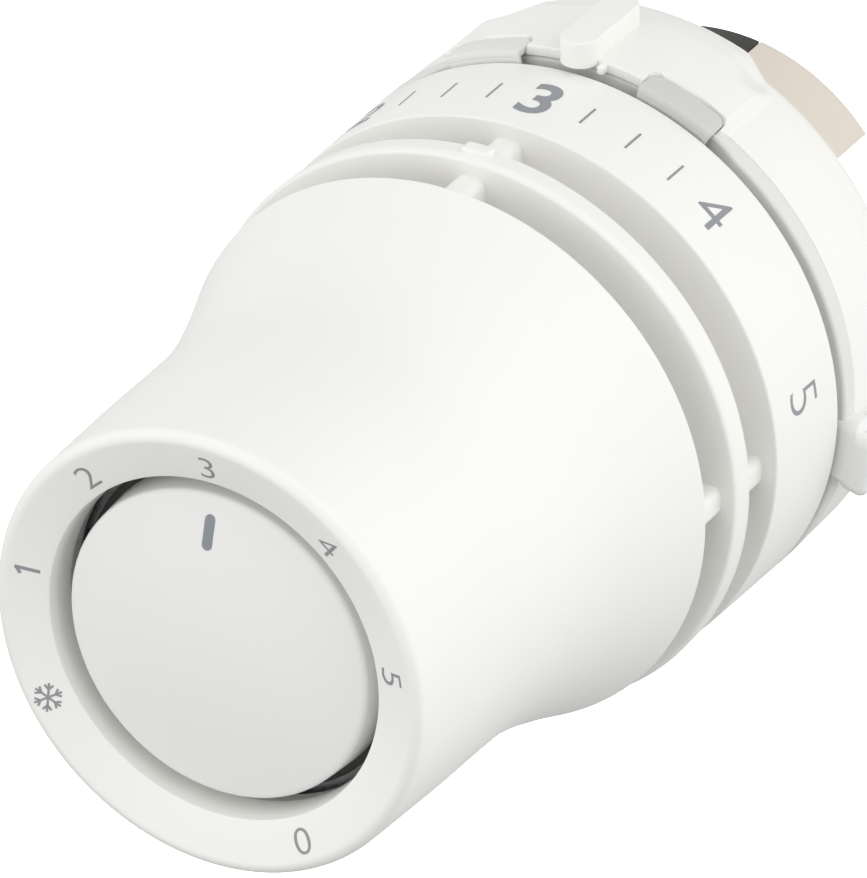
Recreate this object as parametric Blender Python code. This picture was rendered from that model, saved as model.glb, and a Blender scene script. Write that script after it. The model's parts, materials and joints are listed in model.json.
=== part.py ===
"""Thermostatic radiator valve head: handle, click-on neck coupling and gas-filled sensor.

Frame: metres. The turning axis is Y, the front (dial) faces -Y, the neck socket opens to +Y and the
index mark is at the top, +Z. The origin is the flat end of the pressure pin at setting 3.

Sizes below are millimetres: _R is a radius from the axis, _Y a station along it, counted rearward
from the inner edge of the dial face. Angles are degrees from the top, clockwise seen from the
front. Every profile is a closed outline of (radius, station) points.
"""

from math import cos, pi, radians, sin

import bmesh
import bpy
from mathutils import Vector

MILLI = 0.001
PIN_END_Y = 71.5  # the world origin
SHARP_ANGLE = 32.0

# segments in a full turn
BODY_SEGS = 48
FRAME_SEGS = 36
CAPSULE_SEGS = 28
SMALL_SEGS = 24

# three-fold layout
THIRD = 120.0
ARM_ANGLES = (0.0, THIRD, 2 * THIRD)
POST_ANGLES = tuple(angle + THIRD / 2 for angle in ARM_ANGLES)

# dimensions shared between pieces
ARM_HALF = 9.0  # half angle of a core arm
FLANGE_R = 21.6  # core flange and neck sleeve flange
FLANGE_BORE_R = 7.0
LOCK_TURN = 25.0  # angle the collar slots allow past the posts
POST_R = 20.0  # radius of the screw post centres
POST_BORE_R = 1.25
CLIP_ANGLES = {"low": -19.6, "high": 21.0}
CLIP_HALF = 7.9
SPRING_REAR_Y = 36.5  # rear of the bellows and of the setting spring


# ---------------------------------------------------------------- materials


def material(name, colour, roughness, metallic=0.0):
    mat = bpy.data.materials.get(name)
    if mat is None:
        mat = bpy.data.materials.new(name)
        mat.use_nodes = True
        shader = mat.node_tree.nodes["Principled BSDF"]
        shader.inputs["Base Color"].default_value = (*colour, 1.0)
        shader.inputs["Roughness"].default_value = roughness
        shader.inputs["Metallic"].default_value = metallic
    return mat


def metal(name, colour, roughness):
    return material(name, colour, roughness, metallic=1.0)


WHITE = material("white_plastic", colour=(0.90, 0.90, 0.87), roughness=0.42)
LIGHT = material("light_grey_plastic", colour=(0.72, 0.72, 0.70), roughness=0.45)
DARK = material("dark_grey_nylon", colour=(0.055, 0.054, 0.050), roughness=0.5)
BEIGE = material("beige_plastic", colour=(0.76, 0.69, 0.60), roughness=0.5)
ACETAL = material("natural_acetal", colour=(0.80, 0.79, 0.74), roughness=0.35)
STEEL = metal("bright_steel", colour=(0.62, 0.62, 0.63), roughness=0.3)
SPRING = metal("spring_steel", colour=(0.45, 0.45, 0.47), roughness=0.35)
BRASS = metal("brass", colour=(0.80, 0.60, 0.28), roughness=0.3)
TINNED = metal("tinned_can", colour=(0.70, 0.70, 0.68), roughness=0.35)
COPPER = metal("copper", colour=(0.80, 0.42, 0.26), roughness=0.32)


# ---------------------------------------------------------------- shape helpers


def clear():
    for obj in list(bpy.data.objects):
        bpy.data.objects.remove(obj, do_unlink=True)


def point(radius, station, angle):
    """Cylindrical millimetres to world metres."""
    turn = radians(angle)
    x, z = radius * sin(turn), radius * cos(turn)
    return Vector((x, station - PIN_END_Y, z)) * MILLI


def signed_volume(mesh):
    mesh.calc_loop_triangles()
    total = 0.0
    for triangle in mesh.loop_triangles:
        first, second, third = (mesh.vertices[i].co for i in triangle.vertices)
        total += first.dot(second.cross(third))
    return total


def place(name, shell, mat=None, origin=None, smooth=True):
    """Turn a bmesh into a scene object with outward normals and its origin at the given point."""
    bmesh.ops.recalc_face_normals(shell, faces=shell.faces)
    shift = origin if origin is not None else Vector((0, 0, 0))
    bmesh.ops.translate(shell, verts=shell.verts, vec=-shift)
    mesh = bpy.data.meshes.new(name)
    shell.to_mesh(mesh)
    shell.free()
    if signed_volume(mesh) < 0:
        mesh.flip_normals()
    obj = bpy.data.objects.new(name, mesh)
    obj.location = shift
    bpy.context.scene.collection.objects.link(obj)
    if mat is not None:
        mesh.materials.append(mat)
    if smooth:
        mesh.shade_smooth()
        mesh.set_sharp_from_angle(angle=radians(SHARP_ANGLE))
    return obj


def revolve(name, profile, mat=None, start=0.0, end=360.0, segs=BODY_SEGS, origin=None):
    """Sweep a profile about the axis. A full turn may touch the axis."""
    shell = bmesh.new()
    full = end - start >= 360.0
    steps = segs if full else segs + 1
    rings = []
    for radius, station in profile:
        if radius <= 1e-6:
            rings.append([shell.verts.new(point(0, station, 0))] * steps)
        else:
            angles = [start + (end - start) * k / segs for k in range(steps)]
            rings.append([shell.verts.new(point(radius, station, angle)) for angle in angles])
    for ring, following in zip(rings, rings[1:] + rings[:1]):
        for k in range(segs):
            j = (k + 1) % steps
            # a point on the axis repeats, so a quad there drops to a triangle or to nothing
            corners = list(dict.fromkeys((ring[k], ring[j], following[j], following[k])))
            if len(corners) > 2:
                shell.faces.new(corners)
    if not full:
        shell.faces.new([ring[0] for ring in rings])
        shell.faces.new([ring[-1] for ring in reversed(rings)])
    return place(name, shell, mat, origin)


def rectangle(inner, outer, front, rear):
    return [(inner, front), (outer, front), (outer, rear), (inner, rear)]


def sector(name, inner, outer, front, rear, middle, half, mat=None, segs=8, origin=None):
    """A rectangular profile swept through half an angle each side of the middle one."""
    profile = rectangle(inner, outer, front, rear)
    return revolve(name, profile, mat, middle - half, middle + half, segs, origin)


def loft(loops):
    """Skin a row of equal point loops and cap both ends."""
    shell = bmesh.new()
    rings = [[shell.verts.new(corner) for corner in loop] for loop in loops]
    count = len(rings[0])
    for ring, following in zip(rings, rings[1:]):
        for k in range(count):
            j = (k + 1) % count
            shell.faces.new((ring[k], ring[j], following[j], following[k]))
    shell.faces.new(rings[0])
    shell.faces.new(list(reversed(rings[-1])))
    return shell


def prism(name, angle, outline, inner, outer):
    """A (sideways, station) outline raised radially from inner to outer at the given angle."""
    turn = radians(angle)
    sideways = Vector((cos(turn), 0, -sin(turn))) * MILLI
    loops = [
        [point(radius, station, angle) + sideways * offset for offset, station in outline]
        for radius in (inner, outer)
    ]
    return place(name, loft(loops), smooth=False)


def block(name, angle, width, inner, outer, front, rear):
    return prism(name, angle, rectangle(-width / 2, width / 2, front, rear), inner, outer)


def post_rod(name, angle, rings, mat=None, segs=16):
    """A round bar along a post's centre line, through rings of (own radius, station)."""
    turns = [2 * pi * k / segs + 0.17 for k in range(segs)]
    loops = [
        [
            point(POST_R, station, angle) + Vector((sin(turn), 0, cos(turn))) * (radius * MILLI)
            for turn in turns
        ]
        for radius, station in rings
    ]
    return place(name, loft(loops), mat)


COIL_TURNS = 5.0
COIL_STEPS_PER_TURN = 12
WIRE_SIDES = 5
CLOSED_TURNS = 1.0  # at each end
CLOSED_GAP = 0.25  # between wires in a closed turn


def coil(name, mean_r, wire_r, front, rear):
    """A compression spring about the axis, its end turns closed."""
    closed_rise = 2 * wire_r + CLOSED_GAP
    lead = (rear - front - 2 * wire_r) - 2 * CLOSED_TURNS * closed_rise
    open_turns = COIL_TURNS - 2 * CLOSED_TURNS
    count = int(COIL_TURNS * COIL_STEPS_PER_TURN)
    loops = []
    for k in range(count + 1):
        turn = COIL_TURNS * k / count
        if turn < CLOSED_TURNS:
            y = front + wire_r + closed_rise * turn / CLOSED_TURNS
        elif turn > COIL_TURNS - CLOSED_TURNS:
            y = rear - wire_r - closed_rise * (COIL_TURNS - turn) / CLOSED_TURNS
        else:
            y = front + wire_r + closed_rise + lead * (turn - CLOSED_TURNS) / open_turns
        around = [2 * pi * j / WIRE_SIDES for j in range(WIRE_SIDES)]
        loops.append([
            point(mean_r + wire_r * cos(side), y + wire_r * sin(side), 360.0 * turn)
            for side in around
        ])
    return place(name, loft(loops), SPRING)


def boolean(piece, tools, operation, solver="EXACT"):
    for tool in tools:
        modifier = piece.modifiers.new(f"{operation.lower()}_{tool.name}", "BOOLEAN")
        modifier.operation = operation
        modifier.object = tool
        modifier.solver = solver
        tool.hide_render = True
        tool.display_type = "WIRE"


def union(piece, *tools):
    boolean(piece, tools, "UNION")


def cut(piece, *tools, solver="EXACT"):
    boolean(piece, tools, "DIFFERENCE", solver)


# ---------------------------------------------------------------- handle (one moulding)

GRIP_RIM_Y = 36.12
VENT_FRONT_Y, VENT_REAR_Y, VENT_R = 39.9, 42.42, 24.9
SCALE_FRONT_Y, SCALE_REAR_Y = 46.8, 56.91
SCALE_FRONT_R, SCALE_REAR_R = 24.87, 25.0
RING_BORE_R = 20.75


def build_handle():
    """Front bell, two rings behind it and the four ribs that join them."""
    bell_outside = [
        (15.08, 0.0), (18.38, -1.055), (18.78, -1.09), (19.15, -0.94), (19.42, -0.64),
        (19.53, -0.25), (19.65, 2.0), (19.85, 9.0), (20.0, 18.0), (20.2, 21.0),
        (20.73, 24.3), (21.5, 27.6), (22.07, 29.5), (22.65, 31.4), (23.35, 33.5),
        (24.05, 35.35), (24.3, 35.9), (24.22, GRIP_RIM_Y),
    ]
    bell_inside = [
        (21.6, GRIP_RIM_Y), (21.4, 33.4), (20.2, 29.6), (19.3, 26.6), (18.3, 23.6),
        (17.75, 22.4), (17.7, 5.9), (16.9, 5.1), (15.3, 5.0), (15.3, 3.1), (14.9, 3.0),
    ]
    vent_profile = [
        (RING_BORE_R, VENT_FRONT_Y), (24.55, VENT_FRONT_Y), (VENT_R, VENT_FRONT_Y + 0.35),
        (VENT_R, VENT_REAR_Y - 0.4), (24.6, VENT_REAR_Y), (RING_BORE_R, VENT_REAR_Y),
    ]
    scale_profile = [
        (RING_BORE_R, 47.6), (22.9, SCALE_FRONT_Y), (24.6, SCALE_FRONT_Y),
        (SCALE_FRONT_R, SCALE_FRONT_Y + 0.3), (SCALE_REAR_R, SCALE_REAR_Y - 0.25),
        (24.8, SCALE_REAR_Y), (22.0, SCALE_REAR_Y), (22.0, 50.9), (RING_BORE_R, 50.3),
    ]
    handle = revolve("handle", bell_outside + bell_inside, WHITE)
    vent = revolve("handle_vent_ring", vent_profile, WHITE)
    scale = revolve("handle_scale_ring", scale_profile, WHITE)
    ribs = [
        block(f"handle_rib_{k}", 90.0 * k, width=2.6, inner=20.9, outer=23.7, front=35.6, rear=48.3)
        for k in range(4)
    ]
    touch_mark = block(
        "handle_touch_mark", 0.0, width=2.48, inner=24.0, outer=25.28, front=40.95, rear=42.3
    )
    union(handle, vent, scale, *ribs, touch_mark)


# ---------------------------------------------------------------- front cap

CAP_EDGE_R = 13.62
DOME_R, DOME_CROWN_Y, DOME_DEPTH = 12.9, -0.75, 1.35
DOME_STEPS = 4


def build_end_cap():
    """Shallow dome with a side wall and an inner skirt."""
    dome = []
    for k in range(DOME_STEPS + 1):
        share = k / DOME_STEPS
        dome.append((DOME_R * share, DOME_CROWN_Y + DOME_DEPTH * share**2))
    wall_and_skirt = [
        (13.35, 0.75), (CAP_EDGE_R, 1.05), (CAP_EDGE_R + 0.25, 4.5), (13.2, 4.5), (13.0, 2.1),
        (10.9, 2.1), (10.7, 7.2), (10.0, 7.2), (10.0, 1.9), (0.0, 0.9),
    ]
    revolve("end_cap", dome + wall_and_skirt, WHITE)


# ---------------------------------------------------------------- core frame


def build_core_frame():
    """Front ring and rear flange joined by three arms."""
    ring_profile = [
        (11.0, 3.2), (12.7, 3.2), (12.7, 4.8), (14.55, 4.8), (14.55, 5.3), (13.3, 5.3),
        (13.3, 7.1), (14.2, 7.1), (14.2, 7.7), (16.9, 7.7), (16.9, 9.3), (6.0, 9.3),
        (6.0, 7.9), (11.0, 7.9),
    ]
    core = revolve("core_frame", ring_profile, DARK, segs=FRAME_SEGS)
    arms = [
        sector(f"core_arm_{k}", 15.6, 16.7, 8.6, 55.2, angle, ARM_HALF, segs=4)
        for k, angle in enumerate(ARM_ANGLES)
    ]
    flange_profile = rectangle(FLANGE_BORE_R, FLANGE_R, 54.5, 57.2)
    flange = revolve("core_flange", flange_profile, DARK, segs=FRAME_SEGS)
    union(core, *arms, flange)
    return core


def build_handle_retainer():
    """Spring ring with its gap at the top."""
    sector("handle_retainer", 13.65, 16.0, 5.6, 6.8, 180.0, 165.0, SPRING, segs=SMALL_SEGS)


def build_inner_sleeve():
    profile = [(19.0, 33.2), (20.1, 33.2), (20.4, 33.6), (20.4, 54.2), (19.0, 54.2)]
    revolve("inner_sleeve", profile, WHITE, segs=FRAME_SEGS)


# ---------------------------------------------------------------- sensor carrier and capsule

KEYWAY_CLEARANCE = 1.6  # degrees each side of a core arm


def build_sensor_carrier():
    """Ring with outer keyways for the core arms."""
    profile = rectangle(14.55, 17.35, 12.6, 20.4)
    carrier = revolve("sensor_carrier", profile, ACETAL, segs=FRAME_SEGS)
    half = ARM_HALF + KEYWAY_CLEARANCE
    for k, angle in enumerate(ARM_ANGLES):
        cut(carrier, sector(f"carrier_keyway_{k}", 15.25, 18.5, 11.0, 22.0, angle, half, segs=6))


def build_capsule():
    """Can closed at the front, its fill tube and its base."""
    can_profile = [
        (0.0, 11.2), (12.6, 11.2), (13.7, 11.6), (14.2, 12.7), (14.2, 38.6), (13.6, 38.6),
        (13.6, 13.0), (13.3, 12.2), (12.4, 11.8), (0.0, 11.8),
    ]
    tube_profile = [(0.0, 7.0), (0.5, 7.0), (1.2, 8.2), (1.2, 10.9), (0.0, 10.9)]
    base_profile = rectangle(3.45, 13.3, 36.9, 38.3)
    revolve("sensor_capsule", can_profile, TINNED, segs=CAPSULE_SEGS)
    revolve("fill_tube", tube_profile, COPPER, segs=16)
    revolve("capsule_base", base_profile, TINNED, segs=CAPSULE_SEGS)


BELLOWS_FRONT_Y = 15.3
BELLOWS_FOLDS = 7
BELLOWS_CREST_R, BELLOWS_ROOT_R, BELLOWS_WALL = 12.6, 9.6, 0.5


def build_bellows():
    """Corrugated tube closed at the front: outer skin rearward, inner skin back to the front."""
    neck_r = BELLOWS_ROOT_R + BELLOWS_WALL
    folds_y = BELLOWS_FRONT_Y + 1.0
    pitch = (SPRING_REAR_Y - folds_y) / BELLOWS_FOLDS
    outer = [(0.0, BELLOWS_FRONT_Y), (neck_r, BELLOWS_FRONT_Y)]
    inner = []
    for k in range(BELLOWS_FOLDS):
        root_y = folds_y + k * pitch
        crest_y = root_y + 0.5 * pitch
        outer += [(neck_r, root_y), (BELLOWS_CREST_R, crest_y)]
        inner += [(BELLOWS_ROOT_R, root_y), (BELLOWS_CREST_R - BELLOWS_WALL, crest_y)]
    outer.append((neck_r, SPRING_REAR_Y))
    inner.append((BELLOWS_ROOT_R, SPRING_REAR_Y))
    profile = outer + inner[::-1] + [(0.0, BELLOWS_FRONT_Y + 0.6)]
    revolve("bellows", profile, BRASS, segs=SMALL_SEGS)


def build_guide_bush():
    profile = [(2.35, 33.2), (3.1, 33.2), (3.1, 38.6), (4.6, 38.6), (4.6, 39.8), (2.35, 39.8)]
    revolve("guide_bush", profile, ACETAL, segs=SMALL_SEGS)


def build_setting_spring():
    coil("setting_spring", mean_r=6.6, wire_r=0.75, front=19.6, rear=SPRING_REAR_Y)


# ---------------------------------------------------------------- spindle, overtravel and pin


def build_spindle():
    """Rod with a disc at its front end."""
    profile = [
        (0.0, 16.9), (7.6, 16.9), (7.6, 17.9), (2.6, 17.9), (2.0, 18.6), (2.0, 44.4), (0.0, 44.4),
    ]
    revolve("spindle", profile, STEEL, segs=SMALL_SEGS)


def build_overtravel():
    """Cup open to the rear, with the spring inside it and the circlip at its mouth."""
    cup_profile = [
        (0.0, 44.7), (5.0, 44.7), (5.6, 45.3), (5.6, 58.4), (4.8, 58.4), (4.8, 46.0), (0.0, 46.0),
    ]
    revolve("overtravel_cup", cup_profile, BRASS, segs=CAPSULE_SEGS)
    coil("overtravel_spring", mean_r=3.75, wire_r=0.5, front=46.4, rear=55.4)
    sector("cup_circlip", 2.6, 4.45, 57.3, 58.1, 180.0, 160.0, SPRING, segs=SMALL_SEGS)


def build_pressure_pin():
    profile = [
        (0.0, 55.8), (4.4, 55.8), (4.4, 56.9), (2.0, 56.9), (2.0, 69.6), (2.8, 70.2),
        (2.8, 71.2), (2.5, PIN_END_Y), (0.0, PIN_END_Y),
    ]
    revolve("pressure_pin", profile, STEEL, segs=32)


# ---------------------------------------------------------------- neck sleeve and latch jaws

SLEEVE_R = 16.45
SLEEVE_END_Y = 83.6
SOCKET_R = 13.0
NECK_SEAT_Y = 61.0
FINGER_START, FINGER_END = -31.0, 9.3
JAW_ANGLE, JAW_HALF = -10.5, 8.0
JAW_FRONT_Y, JAW_REAR_Y = 74.6, 78.0
JAW_TIP_R = 11.9
JAW_ORIGIN_R = 13.4
WINDOW_GAP, WINDOW_GAP_ANGLE = 0.4, 1.6  # window clearance on each side of a jaw


def build_neck_sleeve():
    """Flanged socket with three rear fingers, each with a window for a jaw."""
    socket_profile = [
        (FLANGE_BORE_R, 57.5), (FLANGE_R, 57.5), (FLANGE_R, 59.3), (14.6, 59.3), (14.6, 71.4),
        (SOCKET_R, 71.4), (SOCKET_R, NECK_SEAT_Y), (FLANGE_BORE_R, NECK_SEAT_Y),
    ]
    finger_profile = [
        (13.3, 69.5), (14.3, 69.5), (14.3, 72.1), (SLEEVE_R, 72.1), (SLEEVE_R, SLEEVE_END_Y),
        (13.3, SLEEVE_END_Y),
    ]
    sleeve = revolve("neck_sleeve", socket_profile, DARK, segs=FRAME_SEGS)
    for k in range(3):
        start, end = FINGER_START + THIRD * k, FINGER_END + THIRD * k
        union(sleeve, revolve(f"sleeve_finger_{k}", finger_profile, DARK, start, end, segs=8))
    front, rear = JAW_FRONT_Y - WINDOW_GAP, JAW_REAR_Y + WINDOW_GAP
    half = JAW_HALF + WINDOW_GAP_ANGLE
    for k in range(3):
        angle = JAW_ANGLE + THIRD * k
        window = sector(f"jaw_window_{k}", 12.0, 17.2, front, rear, angle, half, segs=4)
        cut(sleeve, window, solver="MANIFOLD")
    return sleeve


def build_latch_jaws():
    profile = [
        (JAW_TIP_R, 75.3), (12.6, JAW_FRONT_Y), (15.0, JAW_FRONT_Y), (15.0, JAW_REAR_Y),
        (12.9, JAW_REAR_Y), (JAW_TIP_R, 76.4),
    ]
    for k in range(3):
        angle = JAW_ANGLE + THIRD * k
        origin = point(JAW_ORIGIN_R, (JAW_FRONT_Y + JAW_REAR_Y) / 2, angle)
        start, end = angle - JAW_HALF, angle + JAW_HALF
        revolve(f"latch_jaw_{k + 1}", profile, STEEL, start, end, segs=6, origin=origin)


# ---------------------------------------------------------------- clamp collar (turns)

COLLAR_R = 16.5
COLLAR_BODY_R = COLLAR_R - 0.2
COLLAR_END_Y = 83.7
COLLAR_START, COLLAR_STOP = 10.2, 51.5  # angles of the first finger's sides


def build_clamp_collar():
    """Flanged tube with slots for the posts and three rear fingers."""
    profile = [
        (14.9, 61.4), (23.2, 61.4), (23.2, 62.6), (COLLAR_BODY_R, 62.6), (COLLAR_BODY_R, 71.6),
        (14.9, 71.6),
    ]
    collar = revolve("clamp_collar", profile, BEIGE, segs=FRAME_SEGS)
    for k, angle in enumerate(POST_ANGLES):
        middle, half = angle - LOCK_TURN / 2, LOCK_TURN / 2 + 9.0
        cut(collar, sector(f"collar_slot_{k}", 17.1, 22.6, 60.5, 63.5, middle, half, segs=12))
    finger_profile = rectangle(15.1, COLLAR_R, 70.4, COLLAR_END_Y)
    for k in range(3):
        start, end = COLLAR_START + THIRD * k, COLLAR_STOP + THIRD * k
        union(collar, revolve(f"collar_finger_{k}", finger_profile, None, start, end, segs=8))


# ---------------------------------------------------------------- lock ring (turns)

LOCK_R, LOCK_FRONT_Y, LOCK_REAR_Y = 25.05, 57.85, 59.6
LOCK_BORE_R = 22.1
TAB_ANGLE, TAB_HALF = 99.5, 7.6
PEG_ANGLE, PEG_HALF = 106.0, 6.0


def build_lock_ring():
    """Ring with two outer finger tabs and three pegs on its rear face."""
    ring_profile = [
        (LOCK_BORE_R, LOCK_FRONT_Y), (24.85, LOCK_FRONT_Y), (LOCK_R, LOCK_FRONT_Y + 0.2),
        (LOCK_R, LOCK_REAR_Y), (LOCK_BORE_R, LOCK_REAR_Y),
    ]
    tab_profile = [
        (24.4, 57.5), (27.3, 57.5), (27.8, 57.7), (28.0, 58.2), (28.0, 66.2), (27.8, 66.6),
        (27.4, 66.8), (25.6, 66.8), (25.5, 60.1), (25.0, 59.5), (24.4, 59.5),
    ]
    ring = revolve("lock_ring", ring_profile, LIGHT)
    for side, angle in (("right", TAB_ANGLE), ("left", -TAB_ANGLE)):
        start, end = angle - TAB_HALF, angle + TAB_HALF
        union(ring, revolve(f"finger_tab_{side}", tab_profile, LIGHT, start, end, segs=6))
    for k in range(3):
        angle = PEG_ANGLE + THIRD * k
        union(ring, sector(f"lock_peg_{k}", 22.4, 22.9, 59.2, 61.1, angle, PEG_HALF, segs=2))


# ---------------------------------------------------------------- base cover, posts and screws

COVER_FRONT_Y, COVER_REAR_Y = 59.9, 69.5
COVER_R, COVER_BORE_R = 24.95, 23.6
HOOD_HALF = 30.3
HOOD_R, HOOD_FRONT_Y, HOOD_REAR_Y = 26.05, 58.15, 70.6
LUG_WIDTH, LUG_FRONT_Y, LUG_REAR_Y = 3.2, 56.5, 66.3
LUG_BASE_R, LUG_TOP_R = 25.7, 27.9
LUG_END_STEPS = 8
CLIP_WINDOW_GAP = 0.6  # degrees each side of a clip
SCREW_R, SCREW_HEAD_R = 0.9, 1.7
SCREW_REAR_Y, SCREW_HEAD_LENGTH = 69.3, 1.3


def build_hood():
    """Raised arc over the top of the cover."""
    profile = [
        (25.35, HOOD_FRONT_Y), (25.9, HOOD_FRONT_Y), (HOOD_R, HOOD_FRONT_Y + 0.2),
        (HOOD_R, 64.6), (25.8, 67.2), (25.2, 69.2), (24.6, 70.2), (24.1, HOOD_REAR_Y),
        (22.8, HOOD_REAR_Y), (22.8, 68.4), (24.4, 68.2), (24.4, 60.4), (25.35, 60.3),
    ]
    return revolve("cover_hood", profile, WHITE, -HOOD_HALF, HOOD_HALF, segs=22)


def build_index_lug():
    """Round-ended bar standing on the hood."""
    half = LUG_WIDTH / 2
    outline = []
    for centre, start in ((LUG_REAR_Y - half, 0.0), (LUG_FRONT_Y + half, pi)):
        for k in range(LUG_END_STEPS + 1):
            turn = start + pi * k / LUG_END_STEPS
            outline.append((half * cos(turn), centre + half * sin(turn)))
    return prism("index_lug", 0.0, outline, LUG_BASE_R, LUG_TOP_R)


def build_base_cover():
    """Rear cover with the hood, the index lug and a window for each limiter clip."""
    profile = [
        (COVER_BORE_R, COVER_FRONT_Y), (24.65, COVER_FRONT_Y), (24.9, 60.15), (COVER_R, 60.8),
        (COVER_R, 63.0), (24.85, 66.0), (24.6, 68.2), (24.35, 69.0), (23.8, COVER_REAR_Y),
        (17.2, COVER_REAR_Y), (17.2, 67.9), (COVER_BORE_R - 0.2, 67.9),
    ]
    cover = revolve("base_cover", profile, WHITE)
    union(cover, build_hood(), build_index_lug())
    half = CLIP_HALF + CLIP_WINDOW_GAP
    for side, angle in CLIP_ANGLES.items():
        cut(cover, sector(f"window_{side}", 25.15, 27.0, 56.8, 60.1, angle, half))
    return cover


def build_posts(cover, core, sleeve):
    """Add the bored screw posts, the pilot holes in both flanges and the screws."""
    head_y = SCREW_REAR_Y - SCREW_HEAD_LENGTH
    screw_rings = [
        (SCREW_R, 55.0), (SCREW_R, head_y), (SCREW_HEAD_R, head_y), (SCREW_HEAD_R, SCREW_REAR_Y),
    ]
    bore_rings = [(POST_BORE_R, 59.0), (POST_BORE_R, 71.0)]
    pilot_rings = [(POST_BORE_R, 54.0), (POST_BORE_R, 60.0)]
    for k, angle in enumerate(POST_ANGLES):
        union(cover, post_rod(f"cover_post_{k}", angle, [(2.4, 60.1), (2.4, 68.6)]))
        cut(cover, post_rod(f"post_bore_{k}", angle, bore_rings))
        cut(cover, post_rod(f"post_counterbore_{k}", angle, [(2.05, 67.6), (2.05, 71.0)]))
        pilot = post_rod(f"flange_pilot_{k}", angle, pilot_rings)
        cut(core, pilot)
        cut(sleeve, pilot)
        post_rod(f"cover_screw_{k + 1}", angle, screw_rings, STEEL, segs=12)


# ---------------------------------------------------------------- setting limiter clips


def build_limiter_clips():
    """Curved pads, each with a leg reaching inward."""
    for side, angle in CLIP_ANGLES.items():
        name = f"limiter_clip_{side}"
        origin = point(25.6, 58.5, angle)
        pad = sector(name, 25.4, 25.95, 57.15, 59.82, angle, CLIP_HALF, LIGHT, 6, origin)
        union(pad, sector(f"{name}_leg", 23.4, 25.6, 57.2, 57.55, angle, 2.8, segs=3))


clear()
build_handle()
build_end_cap()
core_frame = build_core_frame()
build_handle_retainer()
build_inner_sleeve()
build_sensor_carrier()
build_capsule()
build_bellows()
build_guide_bush()
build_setting_spring()
build_spindle()
build_overtravel()
build_pressure_pin()
neck_sleeve = build_neck_sleeve()
build_latch_jaws()
build_clamp_collar()
build_lock_ring()
build_posts(build_base_cover(), core_frame, neck_sleeve)
build_limiter_clips()
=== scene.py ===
"""Looks of a thermostatic radiator valve head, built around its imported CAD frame.

The head lies along world Y, with its dial facing -Y and +Z up. Places are given in mm as a
radius from the axis, a station along it (0 at the inner edge of the dial face, growing to the
rear) and an angle in degrees from +Z towards +X, clockwise as seen from the front.
The rear end of the pressure pin is at world y = 0.
"""

import json
from math import acos, atan2, cos, degrees, hypot, pi, radians, sin, tan

import bmesh
import bpy
from mathutils import Matrix, Vector

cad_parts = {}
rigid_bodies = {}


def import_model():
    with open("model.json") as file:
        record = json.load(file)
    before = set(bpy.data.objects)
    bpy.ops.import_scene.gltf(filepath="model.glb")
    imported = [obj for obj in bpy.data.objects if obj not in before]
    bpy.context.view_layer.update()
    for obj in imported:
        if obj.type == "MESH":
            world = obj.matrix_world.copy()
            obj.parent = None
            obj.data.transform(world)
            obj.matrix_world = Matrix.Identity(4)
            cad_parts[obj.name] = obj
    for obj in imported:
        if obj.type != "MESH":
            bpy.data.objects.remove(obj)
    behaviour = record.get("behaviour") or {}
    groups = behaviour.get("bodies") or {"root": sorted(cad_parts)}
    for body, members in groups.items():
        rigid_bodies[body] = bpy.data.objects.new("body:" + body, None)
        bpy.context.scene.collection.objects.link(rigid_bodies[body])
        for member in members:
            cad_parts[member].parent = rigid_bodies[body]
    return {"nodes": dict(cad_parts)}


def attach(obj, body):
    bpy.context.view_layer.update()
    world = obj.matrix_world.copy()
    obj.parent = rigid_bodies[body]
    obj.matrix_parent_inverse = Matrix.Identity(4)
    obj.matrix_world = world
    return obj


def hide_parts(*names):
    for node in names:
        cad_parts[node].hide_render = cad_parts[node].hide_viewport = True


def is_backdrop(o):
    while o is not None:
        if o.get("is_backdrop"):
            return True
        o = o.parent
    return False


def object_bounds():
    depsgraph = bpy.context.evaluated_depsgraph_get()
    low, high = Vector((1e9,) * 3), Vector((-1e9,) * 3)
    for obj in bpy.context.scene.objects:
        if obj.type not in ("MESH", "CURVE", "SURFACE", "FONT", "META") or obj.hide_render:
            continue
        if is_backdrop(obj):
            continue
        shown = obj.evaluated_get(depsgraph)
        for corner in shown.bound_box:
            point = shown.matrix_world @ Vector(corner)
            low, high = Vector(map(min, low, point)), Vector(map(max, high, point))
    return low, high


for stray in list(bpy.data.objects):
    bpy.data.objects.remove(stray, do_unlink=True)

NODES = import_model()["nodes"]
CAD_BOX = [list(corner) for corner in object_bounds()]

MM = 0.001
PIN_END = 71.5  # station of the pressure pin's rear end
AROUND = 240  # segments of a full turn
THIRD = 120.0  # pitch of the parts that repeat three times round the axis

# Screws and the holes for their heads
SCREW_ANGLES = (60.0, 180.0, 300.0)
SCREW_CIRCLE = 20.0


# ================================================================== numbers and curves
def polar(radius, station, angle):
    a = radians(angle)
    return Vector((radius * sin(a) * MM, (station - PIN_END) * MM, radius * cos(a) * MM))


def arc_length(angle, radius):
    return radians(angle) * radius


def spread(start, end, steps):
    return [start + (end - start) * i / steps for i in range(steps + 1)]


def blend(a, b, share):
    return a * (1 - share) + b * share


def smoothstep(a, b, x):
    t = max(0.0, min(1.0, (x - a) / (b - a)))
    return t * t * (3 - 2 * t)


def radius_at(knots, station):
    """Radius on a broken line of (station, radius) knots, held constant past its ends."""
    if station <= knots[0][0]:
        return knots[0][1]
    for (y0, r0), (y1, r1) in zip(knots, knots[1:]):
        if station <= y1:
            return r0 + (r1 - r0) * (station - y0) / (y1 - y0)
    return knots[-1][1]


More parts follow.
